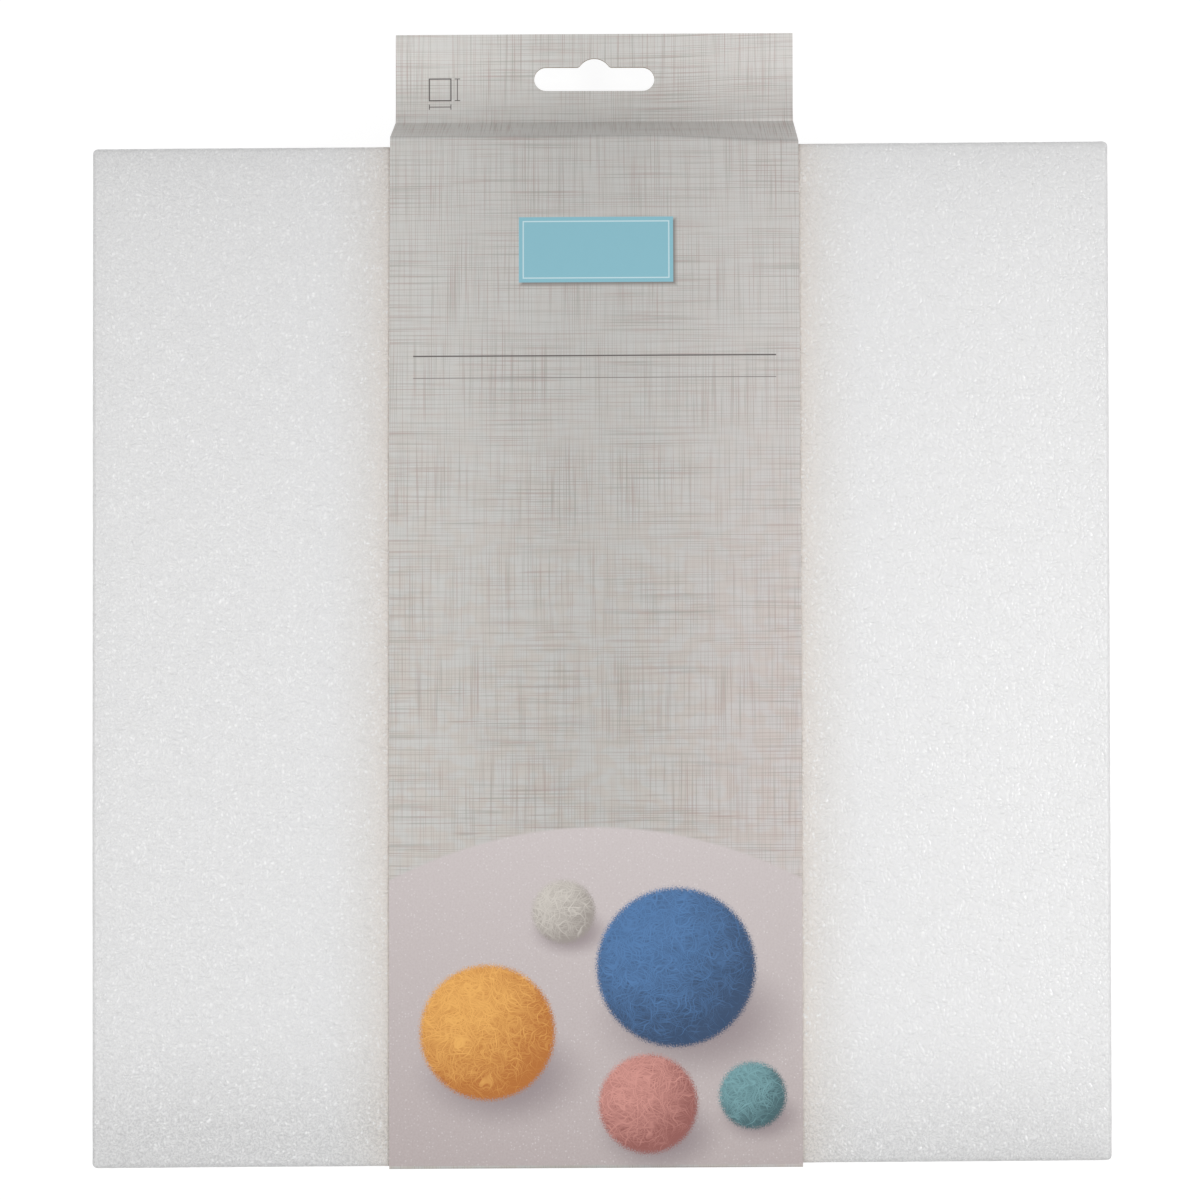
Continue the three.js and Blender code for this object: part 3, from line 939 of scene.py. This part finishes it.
# %% Felt balls
PICTURE_LIGHT = Vector((-0.45, 0.55, 0.70)).normalized()
SHADOW_TONE, SHADOW_SHARE = tint(132, 118, 122), 0.75
SHADOW_SHIFT, SHADOW_SIZE = (0.22, -0.62), (1.15, 0.72)  # in radii of the ball
SHADOW_SPAN = (1.25, 0.35)  # where it ends and where it is full, in its own size
WOOL_LIGHT, WOOL_SHOWS = 0.7, 2.2  # shares of the round form and of the hairs in the shading
WOOL_MIDDLE, WOOL_SPAN = 0.6, (-0.05, 0.85)  # the usual hair, and the shading from dark to light
BALL_SOFT = (0.5, 0.9)  # mm over which its rim fades, outside and inside
RIM_FRONT = 0.02  # square of how far the rim still faces the front
FELT_BALLS = (
    # across, up, radius, dark, light
    (-8.0, 63.0, 8.0, tint(150, 142, 136), tint(204, 198, 190)),
    (20.0, 49.0, 20.0, tint(28, 58, 92), tint(72, 116, 166)),
    (-27.0, 33.0, 17.0, tint(176, 104, 32), tint(232, 172, 88)),
    (13.0, 15.0, 12.5, tint(140, 82, 76), tint(206, 144, 134)),
    (39.0, 17.0, 8.5, tint(52, 86, 92), tint(116, 160, 166)),
)


def ball_shadow(g, base, u, v, ball):
    across, up, radius = ball[:3]
    x = g.multiply(g.subtract(u, across + SHADOW_SHIFT[0] * radius), 1 / (SHADOW_SIZE[0] * radius))
    y = g.multiply(g.subtract(v, up + SHADOW_SHIFT[1] * radius), 1 / (SHADOW_SIZE[1] * radius))
    away = g.math("SQRT", g.add(g.multiply(x, x), g.multiply(y, y)))
    return g.mix(g.multiply(g.step(away, *SHADOW_SPAN), SHADOW_SHARE), base, SHADOW_TONE)


def felt_ball(g, base, u, v, hairs, fuzz, ball):
    across, up, radius, dark, light = ball
    x = g.multiply(g.subtract(u, across), 1 / radius)
    y = g.multiply(g.subtract(v, up), 1 / radius)
    square = g.add(g.multiply(x, x), g.multiply(y, y))
    away = g.add(g.math("SQRT", square), g.multiply(fuzz, 1 / radius))
    front = g.math("SQRT", g.math("MAXIMUM", g.subtract(1.0, square), RIM_FRONT))
    lit = g.multiply(front, PICTURE_LIGHT.z)
    lit = g.add(lit, g.multiply(x, PICTURE_LIGHT.x))
    lit = g.add(lit, g.multiply(y, PICTURE_LIGHT.y))

    wool = g.add(g.multiply(lit, WOOL_LIGHT), g.multiply(g.subtract(hairs, WOOL_MIDDLE), WOOL_SHOWS))
    felt = g.mix(g.fit(wool, *WOOL_SPAN, 0.0, 1.0), dark, light)
    return g.mix(g.step(away, 1 + BALL_SOFT[0] / radius, 1 - BALL_SOFT[1] / radius), base, felt)


def felt_picture(g, base, u, v):
    base = foam_sheet(g, base, u, v)
    for ball in FELT_BALLS:
        base = ball_shadow(g, base, u, v, ball)
    hairs, fuzz = wool_hairs(g, u, v), wool_fuzz(g, u, v)
    for ball in FELT_BALLS:
        base = felt_ball(g, base, u, v, hairs, fuzz, ball)
    return base


print("felt balls:", len(FELT_BALLS))

# %% [markdown]
# ## Card finishes
# Three finishes make a sheet of card look real from every side: the print with a low satin varnish, the
# bare kraft of the inside, which warms the light that slips in under the panel, and the pale cut edge.

# %% Printed side
VARNISH, VARNISH_SPAN, VARNISH_ROUGH = 5.0, (0.3, 0.7), (0.52, 0.62)  # mm, of the noise, roughness
PORE, PORE_RISE = 0.25, 0.01 * MM  # size in the print's mm


def printed_finish(crease_v):
    g = finish_graph("printed_card")
    place = g.node("UVMap", uv_map="strip").outputs[0]
    flat = g.node("SeparateXYZ", {"Vector": place}).outputs
    u = g.multiply(flat["X"], RASTER)
    v = g.multiply(flat["Y"], RASTER)
    colour = linen(g, u, v, crease_v)
    colour = felt_picture(g, colour, u, v)
    colour = label_and_rules(g, colour, u, v)
    colour = size_mark(g, colour, u, v, crease_v)
    varnish = g.fit(g.noise(g.point(u, v), 1 / VARNISH), *VARNISH_SPAN, *VARNISH_ROUGH)
    pores = g.noise(g.point(u, v), 1 / PORE, 2.0)
    return g.surface(Base_Color=colour, Roughness=varnish, Normal=g.bump(pores, PORE_RISE))


front_rows = half_strip(front_bow, 0)[FOLD_STEPS:]
crease_v = step_lengths(front_rows)[: PANEL_STEPS + FOLD_STEPS + SLOPE_STEPS].sum() / MM
card_print = printed_finish(crease_v)
print(f"crease {crease_v:.1f} mm up the print;", len(card_print.node_tree.nodes), "nodes in the print")

# %% Inside and cut edge
KRAFT, KRAFT_DARK = tint(222, 180, 132), tint(206, 160, 112)
FIBRE, FIBRE_SPAN, FIBRE_RISE = 1.2 * MM, (0.35, 0.65), 0.03 * MM
BOARD_EDGE, BOARD_PLY = tint(206, 196, 180), tint(176, 160, 138)
PLY, PLY_SPAN, PLY_RISE = 0.12 * MM, (0.4, 0.6), 0.02 * MM


def kraft_finish():
    g = finish_graph("kraft_inside")
    place = g.node("UVMap", uv_map="strip").outputs[0]
    fibre = g.noise(place, 1 / FIBRE, 4.0, Roughness=0.7, Distortion=1.0)
    colour = g.mix(g.step(fibre, *FIBRE_SPAN), KRAFT_DARK, KRAFT)
    return g.surface(Base_Color=colour, Roughness=0.85, Normal=g.bump(fibre, FIBRE_RISE))


def edge_finish():
    g = finish_graph("cut_board_edge")
    place = g.node("TexCoord").outputs["Object"]
    plies = g.noise(place, 1 / PLY, 2.0, flat=False)
    colour = g.mix(g.step(plies, *PLY_SPAN), BOARD_PLY, BOARD_EDGE)
    return g.surface(Base_Color=colour, Roughness=0.9, Normal=g.bump(plies, PLY_RISE))


card_finishes = [card_print, kraft_finish(), edge_finish()]
print("card finishes:", [finish.name for finish in card_finishes])

# %% [markdown]
# ## Card sleeve: thickness and slot
# Solidify gives the sheet its thickness, with kraft inside and raw board at the edges, and the Boolean cuts
# the slot through both leaves. Modelling the second face by hand would give the same mesh with more work.
# Both are applied here, because a piece that bends over a joint is best a plain mesh.

# %% Thickness and slot
KRAFT_SLOT, EDGE_SLOT = 1, 2  # places in card_finishes
SHARP_FOLD = math.radians(32)

for finish in card_finishes:
    sleeve.data.materials.append(finish)
    cutter.data.materials.append(finish)
for face in cutter.data.polygons:
    face.material_index = EDGE_SLOT

thickness = sleeve.modifiers.new("card_thickness", "SOLIDIFY")
thickness.thickness = card
thickness.offset = 0
thickness.use_even_offset = True
thickness.vertex_group = "full_card"
thickness.material_offset = KRAFT_SLOT
thickness.material_offset_rim = EDGE_SLOT
cut = sleeve.modifiers.new("hang_slot", "BOOLEAN")
cut.operation = "DIFFERENCE"
cut.solver = "EXACT"
cut.object = cutter

settled = sleeve.evaluated_get(bpy.context.evaluated_depsgraph_get())
sleeve_mesh = bpy.data.meshes.new_from_object(settled)
sleeve.modifiers.clear()
sleeve.vertex_groups.clear()
sleeve.data = sleeve_mesh
sleeve_mesh.set_sharp_from_angle(angle=SHARP_FOLD)
bpy.data.objects.remove(cutter)
print("card sleeve:", len(sleeve_mesh.vertices), "points,", len(sleeve_mesh.polygons), "faces")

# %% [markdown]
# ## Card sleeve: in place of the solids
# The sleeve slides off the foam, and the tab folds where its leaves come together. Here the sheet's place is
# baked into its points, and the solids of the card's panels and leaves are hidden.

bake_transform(sleeve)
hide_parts("front_panel", "bottom_panel", "back_panel", "front_gable", "back_gable")
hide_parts("front_tab_leaf", "back_tab_leaf")

# %% [markdown]
# ## Glue
# Two strips of dried glue hold the leaves together. They are thin slabs that only show at the edge of the
# tab, so the solids stay as they are and get a cloudy, slightly shiny finish.

# %% Glue finish
GLUE_PALE, GLUE_CLOUD = tint(226, 218, 200), tint(204, 192, 168)
CLOUD, CLOUD_SPAN, CLOUD_RISE = 2.5 * MM, (0.35, 0.65), 0.02 * MM
GLOSS_SPAN, GLOSS_ROUGH = (0.3, 0.7), (0.3, 0.5)


def glue_finish():
    g = finish_graph("dried_glue")
    place = g.node("TexCoord").outputs["Object"]
    cloud = g.noise(place, 1 / CLOUD, 3.0, flat=False, Distortion=0.8)
    colour = g.mix(g.step(cloud, *CLOUD_SPAN), GLUE_CLOUD, GLUE_PALE)
    gloss = g.fit(cloud, *GLOSS_SPAN, *GLOSS_ROUGH)
    return g.surface(Base_Color=colour, Roughness=gloss, Normal=g.bump(cloud, CLOUD_RISE))


glue = glue_finish()
for name in ("left_glue_strip", "right_glue_strip"):
    strip_mesh = frame["nodes"][name].data
    strip_mesh.materials.clear()
    strip_mesh.materials.append(glue)
print("glue on two strips")

# %% Update the scene
bpy.context.view_layer.update()
